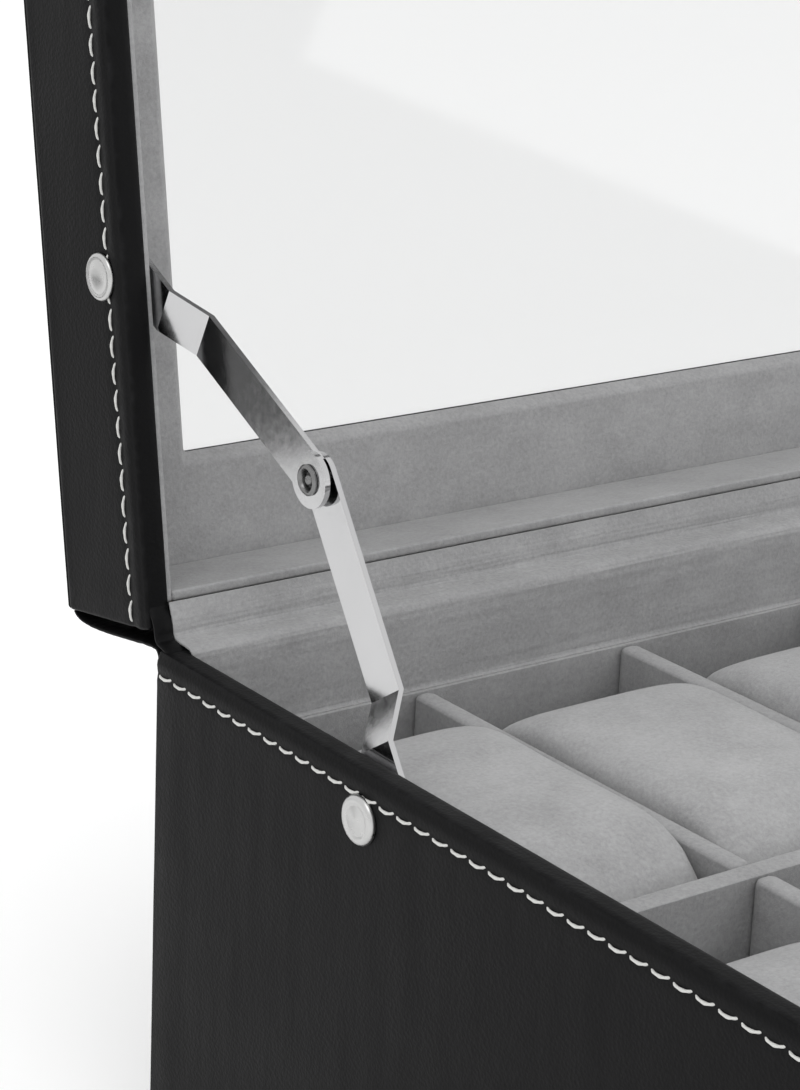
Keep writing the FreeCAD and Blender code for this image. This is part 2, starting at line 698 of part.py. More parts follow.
def make_lock():
    case_front = lining_front
    case_back = lining_front + D.case_depth
    case_low, case_high = tray_top + 0.4, lining_top - 0.2
    wall = D.case_wall
    bolt_front = case_front + 2
    fit = D.lock_fit

    outwards = Rotation(Vector(0, 0, 1), -90)
    face = Placement(Vector(0, -half_depth.value, D.lock_height.value), outwards)
    ring = turned("escutcheon", [
        (0, D.barrel_round + fit), (D.plate, D.barrel_round + fit), (D.plate, D.plate_round - 0.8),
        (D.plate / 2, D.plate_round), (0, D.plate_round)])
    keep(ring, "lock_escutcheon", face)

    shell = block("case_block", across(D.case_half), (case_front, case_back), (case_low, case_high))
    room = block("case_room", across(D.case_half - wall), (case_front + wall, case_back - wall),
                 (case_low + wall, case_high - wall))
    mouth = block("case_mouth", (D.staple_place - 0.7, D.staple_place + D.staple + 0.7),
                  (case_front + wall / 2, case_back - 0.9), (case_high - 2, case_high + 1))
    hole = rod("case_hole", D.barrel_round + fit, wall + 1,
               Vector(0, case_front.value - 1, D.lock_height.value), INTO_BOX)
    keep(cut("case_cut", shell, [room, mouth, hole]), "lock_case")

    keep(make_barrel(), "lock_barrel", face)
    keep(make_bolt(bolt_front), "lock_bolt")
    keep(make_staple(case_front), "lock_staple", LID_OPEN)


def make_barrel():
    """The turning barrel along X, its face with the key slot outwards and a crank pin at its tail."""
    body = new_body("barrel")
    face = sketch_on(body, "barrel_face", "YZ_Plane")
    draw_circle(face, 0, D.barrel_round)
    length = D.rim_width + D.wall_lining + D.tail
    pad(body, face, "barrel_pad", length, backwards=True)
    tip = sketch_on(body, "barrel_tip", "YZ_Plane")
    draw_circle(tip, 0, D.barrel_round)
    pad(body, tip, "barrel_nose", D.nose)
    key = sketch_on(body, "key_slot", "YZ_Plane")
    wide, tall = D.key_wide / 2, D.key_tall / 2
    draw_polygon(key, [(-wide, -tall), (wide, -tall), (wide, tall), (-wide, tall)])
    key.AttachmentOffset = Placement(Vector(0, 0, D.nose.value), Rotation())
    pocket(body, key, "key_pocket", D.key_deep)
    pin = sketch_on(body, "crank_face", "YZ_Plane")
    turn = math.radians(135)
    draw_circle(pin, 0, D.crank_pin)
    pin.AttachmentOffset = Placement(
        Vector(D.crank.value * math.cos(turn), D.crank.value * math.sin(turn), -length.value), Rotation())
    pad(body, pin, "crank_pad", D.bolt_thick + 0.9, backwards=True)
    return body


def make_bolt(front):
    """The sliding bolt, with an upright slot for the crank pin and a tongue for the staple."""
    body = new_body("bolt")
    sketch = sketch_on(body, "bolt_view", "XZ_Plane")
    low, high = D.lock_height + 1, D.lock_height + 6.4
    heel, shoulder, tip = -8, 4, 9
    tongue_low, tongue_high = low + 2.2, high - 0.8
    draw_polygon(sketch, [
        (heel, low), (shoulder, low), (shoulder, tongue_low), (tip, tongue_low),
        (tip, tongue_high), (shoulder, tongue_high), (shoulder, high), (heel, high)])
    pad(body, sketch, "bolt_pad", D.bolt_thick, backwards=True)
    slot = sketch_on(body, "bolt_slot", "XZ_Plane")
    rest = D.crank * -math.sin(math.radians(45))
    reach = D.crank_pin + 0.45
    draw_polygon(slot, [(rest - reach, low - 1), (rest + reach, low - 1),
                        (rest + reach, high - 1), (rest - reach, high - 1)])
    pocket(body, slot, "bolt_pocket", D.bolt_thick * 2)
    body.Placement = Placement(Vector(0, front.value, 0), Rotation())
    return body


def make_staple(case_front):
    """The lid's catch: a foot on the front lining with an eye that drops into the lock."""
    low, high = D.staple_place, D.staple_place + D.staple
    foot_low, foot_high = lid_rim + 2, lid_rim + 11
    arm_front, arm_back, arm_low = case_front + 0.9, case_front + 5.1, D.base_height - 8.6
    foot_reach, screw_place, screw_round = 7, 4.8, 1.2
    foot = block("staple_foot", (low - foot_reach, high + foot_reach), (case_front + 0.1, arm_front),
                 (foot_low, foot_high))
    arm = block("staple_arm", (low, high), (arm_front, arm_back), (arm_low, foot_high - 2))
    web = block("staple_web", (low, high), (arm_front - 0.4, arm_front + 0.1), (foot_low, foot_high - 2))
    joined = doc.addObject("Part::MultiFuse", "staple_joined")
    joined.Shapes = [foot, arm, web]
    eye = block("staple_eye", (low - 1, high + 1), (arm_front + 0.5, arm_back - 0.4),
                (arm_low + 1, arm_low + 6))
    middle = Vector(((low + high) / 2).value, case_front.value - 1, ((foot_low + foot_high) / 2).value)
    holes = [rod("staple_hole", screw_round, 4, middle + Vector(step, 0, 0), INTO_BOX)
             for step in (-screw_place, screw_place)]
    return cut("staple_cut", joined, [eye, *holes])


# ---- build, check and export ----

def check_document():
    doc.recompute()
    for item in doc.Objects:
        if any(state in ("Invalid", "Error") for state in item.State):
            raise ValueError(f"{item.Label} failed: {item.State}")
    for item in nodes:
        if item.Shape.isNull() or not item.Shape.isValid() or not item.Shape.Solids:
            raise ValueError(f"{item.Label} has no valid solid")


def main():
    make_base()
    make_base_linings()
    make_tray()
    make_pillows()
    make_lid()
    make_soft_hinge()
    make_stay(-1, "left")
    make_stay(1, "right")
    make_wall_rivets()
    make_drawer()
    make_lock()
    check_document()
    os.makedirs("parts", exist_ok=True)
    for item in nodes:
        item.Shape.exportStep(f"parts/{item.Label}.step")
        box = item.Shape.BoundBox
        print(f"{item.Label:26s} {len(item.Shape.Solids):3d} solids  {item.Shape.Volume:11.1f} mm3  "
              f"x {box.XMin:7.1f} {box.XMax:7.1f}  y {box.YMin:7.1f} {box.YMax:7.1f}  "
              f"z {box.ZMin:7.1f} {box.ZMax:7.1f}")
    print(f"{len(nodes)} nodes")


main()
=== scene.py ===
import json
import math
import random

import bmesh
import bpy
from mathutils import Matrix, Vector, noise


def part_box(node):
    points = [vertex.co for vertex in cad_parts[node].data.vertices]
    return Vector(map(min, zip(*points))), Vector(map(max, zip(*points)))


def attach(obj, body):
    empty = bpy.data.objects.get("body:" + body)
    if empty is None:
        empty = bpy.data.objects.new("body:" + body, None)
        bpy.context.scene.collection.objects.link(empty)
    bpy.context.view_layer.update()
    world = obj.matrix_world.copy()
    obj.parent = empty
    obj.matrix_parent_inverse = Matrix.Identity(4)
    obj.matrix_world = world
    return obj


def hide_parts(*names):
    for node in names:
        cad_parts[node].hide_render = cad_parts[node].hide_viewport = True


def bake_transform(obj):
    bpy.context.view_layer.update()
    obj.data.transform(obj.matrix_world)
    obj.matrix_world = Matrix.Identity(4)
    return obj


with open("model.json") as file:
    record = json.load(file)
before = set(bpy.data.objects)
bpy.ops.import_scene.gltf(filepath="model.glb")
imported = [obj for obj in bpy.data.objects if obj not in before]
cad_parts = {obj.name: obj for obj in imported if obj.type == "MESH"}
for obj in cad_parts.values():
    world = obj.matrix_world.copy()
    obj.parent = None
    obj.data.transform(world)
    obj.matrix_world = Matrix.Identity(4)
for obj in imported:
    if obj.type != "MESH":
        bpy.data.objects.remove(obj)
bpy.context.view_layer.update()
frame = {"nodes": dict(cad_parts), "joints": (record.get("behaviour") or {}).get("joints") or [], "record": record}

MM = 0.001
nodes = frame["nodes"]
chance = random.Random(12)

# ---- places taken from the frame ----

base_low, base_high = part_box("base_leather")
half_x, half_y, rim = base_high.x, base_high.y, base_high.z
skin_low = base_low.z
bay_low, bay_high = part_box("drawer_front")
lining_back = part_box("base_back_lining")[0].y

hinge = next(joint for joint in frame["joints"] if joint["name"] == "lid_hinge")
hinge_place = Vector(hinge["pos_m"])
SHUT_ANGLE = math.radians(hinge["range_deg"][1])
OPEN = (Matrix.Translation(hinge_place) @ Matrix.Rotation(-SHUT_ANGLE, 4, "X")
        @ Matrix.Translation(-hinge_place))


def shut_box(name):
    """A lid node's lowest and highest corners with the lid shut."""
    shut = OPEN.inverted()
    places = [shut @ vertex.co for vertex in nodes[name].data.vertices]
    return (Vector([min(p[i] for p in places) for i in range(3)]),
            Vector([max(p[i] for p in places) for i in range(3)]))


lid_low, lid_high = shut_box("lid_leather")
lid_rim, lid_top = lid_low.z, lid_high.z
glass_top = shut_box("lid_glass")[1].z
RIM_WIDTH = 4.3 * MM
SKIN = 0.8 * MM
WINDOW_SIDE, WINDOW_END = 22.8 * MM, 25.2 * MM
RIM_STITCH, LID_STITCH = 4.1 * MM, 4.85 * MM
CORNER = 0.9 * MM


# ---- materials ----

class Finish:
    """A node material with a Principled shader, built from small procedural steps."""

    def __init__(self, name, colour, rough, **constants):
        self.material = bpy.data.materials.new(name)
        self.material.use_nodes = True
        self.tree = self.material.node_tree
        self.shader = self.tree.nodes["Principled BSDF"]
        self.place = self.add("ShaderNodeTexCoord").outputs["Object"]
        self.shader.inputs["Base Color"].default_value = (*colour, 1)
        self.shader.inputs["Roughness"].default_value = rough
        for socket, value in constants.items():
            self.shader.inputs[socket.replace("_", " ")].default_value = value
        self.colour = colour

    def add(self, kind, **sockets):
        node = self.tree.nodes.new(kind)
        for socket, value in sockets.items():
            self.feed(node.inputs[socket.replace("_", " ")], value)
        return node

    def feed(self, socket, value):
        if isinstance(value, bpy.types.NodeSocket):
            self.tree.links.new(value, socket)
        else:
            socket.default_value = value

    def stretched(self, scale):
        return self.add("ShaderNodeMapping", Vector=self.place, Scale=scale).outputs[0]

    def noise(self, scale, detail=3.0, rough=0.5, stretch=None):
        place = self.stretched(stretch) if stretch else self.place
        node = self.add("ShaderNodeTexNoise", Vector=place, Scale=scale, Detail=detail, Roughness=rough)
        return node.outputs["Fac"]

    def cells(self, scale, feature="F1"):
        node = self.add("ShaderNodeTexVoronoi", Vector=self.place, Scale=scale)
        node.feature = feature
        return node.outputs["Distance"]

    def ramp(self, value, low, high, to_low=0.0, to_high=1.0):
        node = self.add("ShaderNodeMapRange", Value=value)
        amounts = {"From Min": low, "From Max": high, "To Min": to_low, "To Max": to_high}
        for socket, amount in amounts.items():
            node.inputs[socket].default_value = amount
        return node.outputs[0]

    def combine(self, one, other, operation="ADD"):
        node = self.add("ShaderNodeMath")
        node.operation = operation
        self.feed(node.inputs[0], one)
        self.feed(node.inputs[1], other)
        return node.outputs[0]

    def tint(self, factor, low, high):
        """Runs the colour from low to high times itself. A second tint starts from the first's result."""
        node = self.add("ShaderNodeMix")
        node.data_type = "RGBA"
        self.feed(node.inputs[0], factor)
        socket = self.shader.inputs["Base Color"]
        before = socket.links[0].from_socket if socket.links else None
        if before:
            self.feed(node.inputs[6], before)
        else:
            node.inputs[6].default_value = (*(c * low for c in self.colour), 1)
        node.inputs[7].default_value = (*(c * high for c in self.colour), 1)
        self.feed(socket, node.outputs[2])

    def roughness(self, factor, low, high):
        self.feed(self.shader.inputs["Roughness"], self.ramp(factor, 0.25, 0.75, low, high))

    def bump(self, height, depth, strength=1.0):
        node = self.add("ShaderNodeBump", Height=height, Strength=strength, Distance=depth)
        normal = self.shader.inputs["Normal"]
        if normal.links:
            self.feed(node.inputs["Normal"], normal.links[0].from_socket)
        self.feed(normal, node.outputs[0])


def leather_finish():
    finish = Finish("black_leather", (0.0044, 0.0044, 0.0047), 0.4, Specular_IOR_Level=0.06,
                    Coat_Weight=0.015, Coat_Roughness=0.25)
    patches = finish.noise(55, detail=4)
    streaks = finish.noise(30, detail=3, stretch=(6, 6, 0.8))
    finish.tint(patches, 0.75, 1.4)
    wear = finish.add("ShaderNodeAttribute")
    wear.attribute_name = "wear"
    scuffs = finish.ramp(finish.noise(420, detail=5), 0.45, 0.75)
    rubbed = finish.combine(wear.outputs["Fac"], scuffs, "MULTIPLY")
    finish.tint(finish.combine(rubbed, 0.55, "MULTIPLY"), 1, 4.5)
    finish.roughness(finish.combine(patches, finish.combine(streaks, 0.5, "SUBTRACT")), 0.36, 0.5)
    finish.bump(streaks, 0.0001, 0.1)
    finish.bump(finish.cells(1500), 0.00009, 0.4)
    finish.bump(finish.noise(3800, detail=3), 0.00006, 0.35)
    return finish.material


def velvet_finish(name, shade, seed):
    """Short pile: fine mottling, soft patches where the pile lies over, and sheen at grazing angles."""
    finish = Finish(name, (shade, shade, shade * 1.01), 0.92, Specular_IOR_Level=0.1, Sheen_Weight=0.2,
                    Sheen_Roughness=0.45)
    moved = finish.add("ShaderNodeMapping", Vector=finish.place, Location=(seed, seed, seed))
    finish.place = moved.outputs[0]
    nap = finish.noise(1300, detail=6, rough=0.7)
    lay = finish.noise(95, detail=6, rough=0.62)
    brushed = finish.noise(30, detail=5, rough=0.6, stretch=(1, 1, 3))
    worn = finish.combine(finish.combine(lay, brushed), finish.combine(nap, 1.6, "MULTIPLY"))
    finish.tint(finish.ramp(worn, 1.3, 2.3), 0.78, 1.2)
    finish.bump(lay, 0.0007, 0.35)
    finish.bump(nap, 0.00025, 0.6)
    return finish.material


def felt_finish():
    finish = Finish("black_felt", (0.02, 0.02, 0.021), 0.95, Specular_IOR_Level=0.15, Sheen_Weight=0.2)
    fibres = finish.noise(1400, detail=6, rough=0.7)
    finish.tint(fibres, 0.6, 1.9)
    finish.bump(fibres, 0.0003, 0.7)
    return finish.material


def board_finish():
    finish = Finish("fibreboard", (0.36, 0.27, 0.19), 0.85, Specular_IOR_Level=0.2)
    chips = finish.noise(900, detail=6, rough=0.7)
    finish.tint(chips, 0.75, 1.25)
    finish.bump(chips, 0.0002, 0.5)
    return finish.material


def metal_finish(name, colour, smooth, dull, stretch=(1, 1, 1)):
    """Plated metal with faint rubbing marks in its roughness."""
    finish = Finish(name, colour, smooth, Metallic=1.0)
    marks = finish.noise(700, detail=6, rough=0.65, stretch=stretch)
    finish.tint(finish.noise(90, detail=3), 0.94, 1.04)
    finish.roughness(marks, smooth, dull)
    finish.bump(marks, 0.00002, 0.25)
    return finish.material


def glass_finish():
    """A thin pane: clear, with more reflection on its faces at grazing angles."""
    material = bpy.data.materials.new("clear_glass")
    material.use_nodes = True
    tree = material.node_tree
    tree.nodes.remove(tree.nodes["Principled BSDF"])
    out = tree.nodes["Material Output"]
    clear = tree.nodes.new("ShaderNodeBsdfTransparent")
    clear.inputs["Color"].default_value = (0.855, 0.857, 0.857, 1)
    shine = tree.nodes.new("ShaderNodeBsdfGlossy")
    shine.inputs["Roughness"].default_value = 0.03
    smears = tree.nodes.new("ShaderNodeTexNoise")
    smears.inputs["Scale"].default_value = 35
    place = tree.nodes.new("ShaderNodeTexCoord")
    tree.links.new(place.outputs["Object"], smears.inputs["Vector"])
    spread = tree.nodes.new("ShaderNodeMapRange")
    spread.inputs["To Min"].default_value = 0.015
    spread.inputs["To Max"].default_value = 0.06
    tree.links.new(smears.outputs["Fac"], spread.inputs["Value"])
    tree.links.new(spread.outputs[0], shine.inputs["Roughness"])
    facing = tree.nodes.new("ShaderNodeLayerWeight")
    facing.inputs["Blend"].default_value = 0.5
    steep = tree.nodes.new("ShaderNodeMath")
    steep.operation = "POWER"
    steep.inputs[1].default_value = 5
    tree.links.new(facing.outputs["Facing"], steep.inputs[0])
    edge = tree.nodes.new("ShaderNodeMath")
    edge.operation = "MULTIPLY_ADD"
    edge.inputs[1].default_value, edge.inputs[2].default_value = 0.9, 0.04
    tree.links.new(steep.outputs[0], edge.inputs[0])
    mix = tree.nodes.new("ShaderNodeMixShader")
    tree.links.new(edge.outputs[0], mix.inputs[0])
    tree.links.new(clear.outputs[0], mix.inputs[1])
    tree.links.new(shine.outputs[0], mix.inputs[2])
    tree.links.new(mix.outputs[0], out.inputs["Surface"])
    return material


def thread_finish():
    finish = Finish("waxed_thread", (0.62, 0.62, 0.6), 0.6, Specular_IOR_Level=0.35, Sheen_Weight=0.2)
    fibres = finish.noise(5200, detail=4, rough=0.7)
    finish.tint(fibres, 0.72, 1.2)
    finish.bump(fibres, 0.00006, 0.6)
    return finish.material


LEATHER = leather_finish()
VELVET = velvet_finish("grey_velvet", 0.32, 0.0)
PILLOW = velvet_finish("grey_pillow_velvet", 0.365, 1.7)
FELT = felt_finish()
BOARD = board_finish()
GLASS = glass_finish()
CHROME = metal_finish("polished_chrome", (0.52, 0.52, 0.525), 0.09, 0.17)
NICKEL = metal_finish("satin_nickel", (0.52, 0.52, 0.515), 0.24, 0.36)
# Nickel coloured dark for the knee eyelets: painted shade standing in for the shade inside each hollow eyelet.
PAINTED_SHADE_NICKEL = metal_finish("nickel_with_painted_shade", (0.2, 0.2, 0.2), 0.2, 0.32)
STEEL = metal_finish("brushed_steel", (0.52, 0.52, 0.52), 0.28, 0.42, stretch=(1, 12, 12))
THREAD = thread_finish()
SLOT_FINISH = {"leather": LEATHER, "velvet": VELVET, "pillow_velvet": PILLOW, "felt": FELT, "board": BOARD,
               "glass": GLASS, "chrome": CHROME, "steel": STEEL}

# ---- the CAD nodes that stay ----

SOFT_EDGE = {  # how far each node's edges are rounded
    "base_side_linings": 1.2, "base_front_lining": 0.9, "base_back_lining": 0.4, "tray_frame": 0.9,
    "long_divider": 1.6, "cross_dividers": 1.5, "lid_side_linings": 0.5, "lid_cross_linings": 0.5,
    "lid_velvet_frame": 0.6, "lid_glass": 0.2, "drawer_walls": 0.6, "drawer_partitions": 0.8,
    "drawer_lining": 0.3, "lock_case": 0.2, "lock_staple": 0.25, "lock_bolt": 0.2,
}


def finish_cad_nodes():
    slots = {part["node"]: part["material_slot"] for part in frame["record"]["subparts"]}
    for name, item in nodes.items():
        item.data.materials.clear()
        item.data.materials.append(SLOT_FINISH[slots[name]])
        if name in SOFT_EDGE:
            weld = item.modifiers.new("weld", "WELD")
            weld.merge_threshold = 1e-6
            soft = item.modifiers.new("soft_edges", "BEVEL")
            soft.width = SOFT_EDGE[name] * MM
            soft.segments = 4
            soft.limit_method = "ANGLE"
            soft.angle_limit = math.radians(40)
            soft.use_clamp_overlap = True
            even = item.modifiers.new("even_normals", "WEIGHTED_NORMAL")
            even.keep_sharp = False
            even.weight = 80


# ---- meshes ----

def new_piece(name, places, faces, material, smooth_angle=35, attributes=None):
    mesh = bpy.data.meshes.new(name)
    mesh.from_pydata([tuple(p) for p in places], [], faces)
    for label, values in (attributes or {}).items():
        layer = mesh.attributes.new(label, "FLOAT", "POINT")
        layer.data.foreach_set("value", values)
    work = bmesh.new()
    work.from_mesh(mesh)
    bmesh.ops.recalc_face_normals(work, faces=work.faces)
    work.to_mesh(mesh)
    work.free()
    mesh.shade_smooth()
    mesh.set_sharp_from_angle(angle=math.radians(smooth_angle))
    mesh.materials.append(material)
    piece = bpy.data.objects.new(name, mesh)
    bpy.context.scene.collection.objects.link(piece)
    return piece


def take_out(piece, tools):
    """Cuts the tools' solids out of a piece."""
    for tool in tools:
        cutter = piece.modifiers.new("cut", "BOOLEAN")
        cutter.object = tool
        cutter.operation = "DIFFERENCE"
        cutter.solver = "EXACT"
    apply_modifiers(piece)
    for tool in tools:
        bpy.data.objects.remove(tool)
    piece.data.set_sharp_from_angle(angle=math.radians(35))


def apply_modifiers(piece):
    bpy.context.view_layer.update()
    evaluated = piece.evaluated_get(bpy.context.evaluated_depsgraph_get())
    mesh = bpy.data.meshes.new_from_object(evaluated)
    piece.modifiers.clear()
    piece.data = mesh


def box_tool(low, high):
    places = [(x, y, z) for x in (low[0], high[0]) for y in (low[1], high[1]) for z in (low[2], high[2])]
    faces = [(0, 1, 3, 2), (4, 6, 7, 5), (0, 4, 5, 1), (2, 3, 7, 6), (0, 2, 6, 4), (1, 5, 7, 3)]
    return new_piece("tool", places, faces, LEATHER)


def rod_tool(centre, axis, radius, length, sides=40):
    """A cylinder about a centre along an axis."""
    turn = Vector(axis).to_track_quat("Z", "Y").to_matrix().to_4x4()
    place = Matrix.Translation(centre) @ turn
    rings = [[place @ Vector((radius * math.cos(a), radius * math.sin(a), z))
              for a in (2 * math.pi * i / sides for i in range(sides))] for z in (-length / 2, length / 2)]
    faces = [(i, (i + 1) % sides, sides + (i + 1) % sides, sides + i) for i in range(sides)]
    faces += [tuple(range(sides))[::-1], tuple(range(sides, 2 * sides))]
    return new_piece("tool", rings[0] + rings[1], faces, LEATHER)


ARC = 6
SIDE_STEP = 5 * MM


def frame_ring(reach_x, reach_y, radius, height):
    """Points round a rectangle with rounded corners. Each ring of one piece has the same number."""
    corners = [(1, 1), (-1, 1), (-1, -1), (1, -1)]
    counts = [round(2 * half_x / SIDE_STEP), round(2 * half_y / SIDE_STEP)]
    points = []
    for i, (sx, sy) in enumerate(corners):
        centre = Vector((sx * (reach_x - radius), sy * (reach_y - radius), height))
        for k in range(ARC + 1):
            angle = (i + k / ARC) * math.pi / 2
            points.append(centre + Vector((math.cos(angle), math.sin(angle), 0)) * radius)
        nx, ny = corners[(i + 1) % 4]
        angle = (i + 1) * math.pi / 2
        far = Vector((nx * (reach_x - radius), ny * (reach_y - radius), height))
        far += Vector((math.cos(angle), math.sin(angle), 0)) * radius
        near = points[-1]
        count = counts[i % 2]
        points += [near.lerp(far, k / count) for k in range(1, count)]
    return points


def swept_shell(name, profile, corner, sway=0.00008):
    """A closed shell swept round the box. A profile entry is (side inset, end inset, height, wear)."""
    places, wear, faces = [], [], []
    rings = len(profile)
    for side, end, height, worn in profile:
        radius = max(corner - side, 0.3 * MM)
        ring = frame_ring(half_x - side, half_y - end, radius, height)
        for point in ring:
            swell = noise.noise(point * 45) + 0.5 * noise.noise(point * 130)
            flat = Vector((point.x / half_x, point.y / half_y, 0))
            out = Vector((flat.x, 0, 0)) if abs(flat.x) > abs(flat.y) else Vector((0, flat.y, 0))
            places.append(point - out.normalized() * (0.5 + 0.5 * swell) * sway)
            near, far = sorted((half_x - abs(point.x), half_y - abs(point.y)))
            at_corner = near < 0.1 * MM and far < 2 * MM
            wear.append(min(1.0, worn + (0.6 if at_corner else 0)))
    count = len(places) // rings
    for i in range(rings):
        j = (i + 1) % rings
        for k in range(count):
            n = (k + 1) % count
            faces.append((i * count + k, i * count + n, j * count + n, j * count + k))
    return new_piece(name, places, faces, LEATHER, 60, {"wear": wear})


def even_steps(low, high, step):
    count = max(1, round((high - low) / step))
    return [low + (high - low) * i / count for i in range(count + 1)]


def make_base_leather():
    """The base's covering: stitched below the rim, rolled over it, and tucked behind the linings."""
    drop = lambda inset, height, worn=0.0: (inset * MM, inset * MM, rim + height * MM, worn)
    profile = [(0.06 * MM, 0.06 * MM, z, 0.1) for z in even_steps(skin_low, rim - 6.5 * MM, 8 * MM)]
    profile += [
        drop(0.03, -5.4), drop(0.1, -4.7), drop(0.18, -4.1), drop(0.08, -3.4), drop(0, -2.6, 0.15),
        drop(0.07, -1.8), drop(0.3, -1.15), drop(0.43, -0.78), drop(0.47, -0.45, 0.3),
        drop(0.64, -0.17, 0.8), drop(1.0, -0.03, 0.6), drop(1.7, 0, 0.1), drop(2.6, -0.02),
        drop(3.4, 0), drop(3.95, -0.06, 0.3),
        drop(4.5, -0.28, 0.5), drop(4.9, -0.7, 0.4), drop(5.02, -1.1), drop(4.7, -1.25), drop(4.3, -1.25),
        drop(3.9, -0.9), drop(0.8, -0.85),
    ]
    profile += [(SKIN, SKIN, z, 0.0) for z in (rim - 8 * MM, rim / 2, skin_low)]
    shell = swept_shell("base_leather_cover", profile, CORNER)
    reach = bay_high.x + 0.6 * MM
    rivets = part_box("base_stay_rivets")
    rivet_y, rivet_z = (rivets[0].y + rivets[1].y) / 2, (rivets[0].z + rivets[1].z) / 2
    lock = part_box("lock_barrel")
    lock_z = (lock[0].z + lock[1].z) / 2
    take_out(shell, [
        box_tool((-reach, -half_y - 5 * MM, bay_low.z - 0.6 * MM),
                 (reach, -half_y + 3 * MM, bay_high.z + 0.6 * MM)),
        rod_tool((0, rivet_y, rivet_z), (1, 0, 0), 2 * MM, 2 * half_x + 10 * MM),
        rod_tool((0, -half_y, lock_z), (0, 1, 0), 4.8 * MM, 10 * MM),
    ])
    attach(shell, "base")
    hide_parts("base_leather")


def make_lid_leather():
    """The lid's covering, swept with the lid shut and then turned open."""
    near = lambda inset, height, worn=0.0: (inset * MM, inset * MM, lid_rim + height * MM, worn)
    lip = lambda side, end, height: (side * MM, end * MM, lid_rim + height * MM, 0.3)
    height = (lid_top - lid_rim) / MM

    def window(inset, drop, worn=0.0):
        return (WINDOW_SIDE - inset * MM, WINDOW_END - inset * MM, lid_top - drop * MM, worn)

    profile = [
        near(4.3, 1.4), lip(4.95, 4.34, 1.15), lip(4.98, 4.34, 0.75), lip(4.7, 4.2, 0.3),
        lip(4.1, 3.9, 0.06), near(3.2, 0), near(1.6, 0.04), near(1.0, 0.03, 0.3),
        near(0.62, 0.1, 0.7), near(0.4, 0.32, 0.9), near(0.32, 0.7, 0.2), near(0.28, 1.0),
        near(0.14, 1.5, 0.2), near(0.03, 2.1, 0.6), near(0.0, 2.7, 0.7), near(0.06, 3.4, 0.2),
        near(0.14, 4.2), near(0.2, 4.85), near(0.13, 5.5), near(0.07, 6.4),
    ]
    profile += [near(0.07, h) for h in even_steps(8, height - 4, 4)]
    profile += [
        near(0.04, height - 2.6), near(0.0, height - 1.8, 0.5), near(0.02, height - 1.25, 0.8),
        near(0.2, height - 0.95), near(0.3, height - 0.72), near(0.14, height - 0.5, 0.6),
        near(0.26, height - 0.16, 1), near(0.62, height, 0.8), near(1.4, height - 0.02),
        near(3.0, height - 0.02), near(3.8, height - 0.05), near(4.4, height - 0.16),
        near(5.0, height - 0.05), near(6.0, height - 0.02), near(9.0, height), near(12.0, height),
        near(15.0, height),
        window(6.5, 0), window(4.6, 0.04), window(4.0, 0.16), window(3.4, 0.04), window(2.2, 0),
        window(1.2, 0.02, 0.3), window(0.55, 0.15, 0.8), window(0.15, 0.5, 0.7), window(0.0, 1.0, 0.2),
        window(-0.25, 1.6), window(-0.25, (lid_top - glass_top) / MM - 0.03), window(0.1, 2.1),
        window(0.1, 0.9), near(0.8, height - 0.8), near(0.8, height / 2), near(0.8, 1.0),
    ]
    shell = swept_shell("lid_leather_cover", profile, CORNER)
    shell.data.transform(OPEN)
    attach(shell, "lid")
    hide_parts("lid_leather")


# ---- stitching ----

PITCH, DASH, THREAD_ROUND = 4.6 * MM, 4.1 * MM, 0.27 * MM
BOW, SLANT = 0.42 * MM, 0.2 * MM
ALONG_RINGS, ROUND_SIDES, TWISTS = 11, 8, 2.2


class Stitching:
    """Rows of thread dashes that dive into the leather at both ends, gathered into one piece."""

    def __init__(self):
        self.places, self.faces = [], []

    def dash(self, start, along, out, away):
        first = len(self.places)
        lean = chance.uniform(-0.06, 0.06) * MM
        bow = BOW * chance.uniform(0.85, 1.15)
        for ring in range(ALONG_RINGS):
            t = ring / (ALONG_RINGS - 1)
            arch = math.sin(math.pi * t)
            middle = start + along * (DASH * t) + away * (bow * arch + SLANT * (1 - 2 * t) + lean)
            middle += out * (0.34 * MM * arch ** 0.4 - 0.26 * MM)
            size = THREAD_ROUND * (0.62 + 0.38 * arch ** 0.35)
            for side in range(ROUND_SIDES):
                angle = 2 * math.pi * side / ROUND_SIDES
                ply = 1 + 0.14 * math.cos(2 * (angle - TWISTS * math.pi * t))
                self.places.append(middle + (away * math.cos(angle) + out * math.sin(angle)) * size * ply)
        for ring in range(ALONG_RINGS - 1):
            for side in range(ROUND_SIDES):
                a, b = first + ring * ROUND_SIDES, first + (ring + 1) * ROUND_SIDES
                n = (side + 1) % ROUND_SIDES
                self.faces.append((a + side, a + n, b + n, b + side))
        last = first + (ALONG_RINGS - 1) * ROUND_SIDES
        self.faces.append(tuple(first + i for i in reversed(range(ROUND_SIDES))))
        self.faces.append(tuple(last + i for i in range(ROUND_SIDES)))

    def row(self, start, end, out, away):
        start, end, out, away = Vector(start), Vector(end), Vector(out), Vector(away)
        span = end - start
        count = round(span.length / PITCH)
        step = span / count
        along = span.normalized()
        for i in range(count):
            self.dash(start + step * i + along * (step.length - DASH) / 2, along, out, away)

    def piece(self, name, body, move=None):
        thread = new_piece(name, self.places, self.faces, THREAD, 60)
        if move is not None:
            thread.data.transform(move)
        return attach(thread, body)


def rows_round(stitching, reach_x, reach_y, height, away, sunk):
    """A row along each side wall, from the hinge side forwards, and one across the front."""
    x, y = half_x - sunk, half_y - sunk
    stitching.row((-x, reach_y, height), (-x, -reach_y, height), (-1, 0, 0), away)
    stitching.row((x, reach_y, height), (x, -reach_y, height), (1, 0, 0), away)
    stitching.row((-reach_x, -y, height), (reach_x, -y, height), (0, -1, 0), away)


